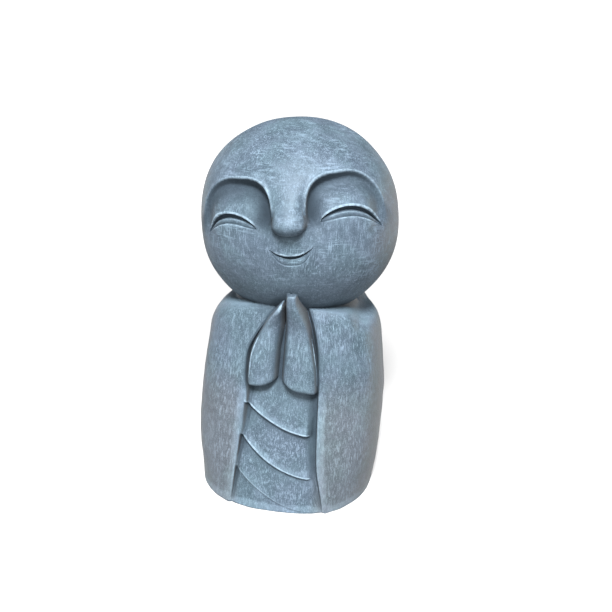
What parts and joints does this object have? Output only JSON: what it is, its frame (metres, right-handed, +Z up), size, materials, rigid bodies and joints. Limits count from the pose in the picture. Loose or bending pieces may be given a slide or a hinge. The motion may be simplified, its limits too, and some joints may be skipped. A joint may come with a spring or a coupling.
{
  "type": "jizo statue",
  "caption": "Small praying jizo figure in painted cast stone, round shaven head, open cloak over a folded robe, hands joined under the chin",
  "frame": {"origin": "centre of the flat underside, where the figure rests", "axes": "+Z up through the crown of the head, the figure faces -Y, +X to the viewer's right"},
  "size_m": [0.131, 0.1348, 0.2501],
  "materials": {
    "stone": "matte"
  },
  "bodies": {
    "root": {"jizo_statue": "stone"}
  },
  "joints": []
}
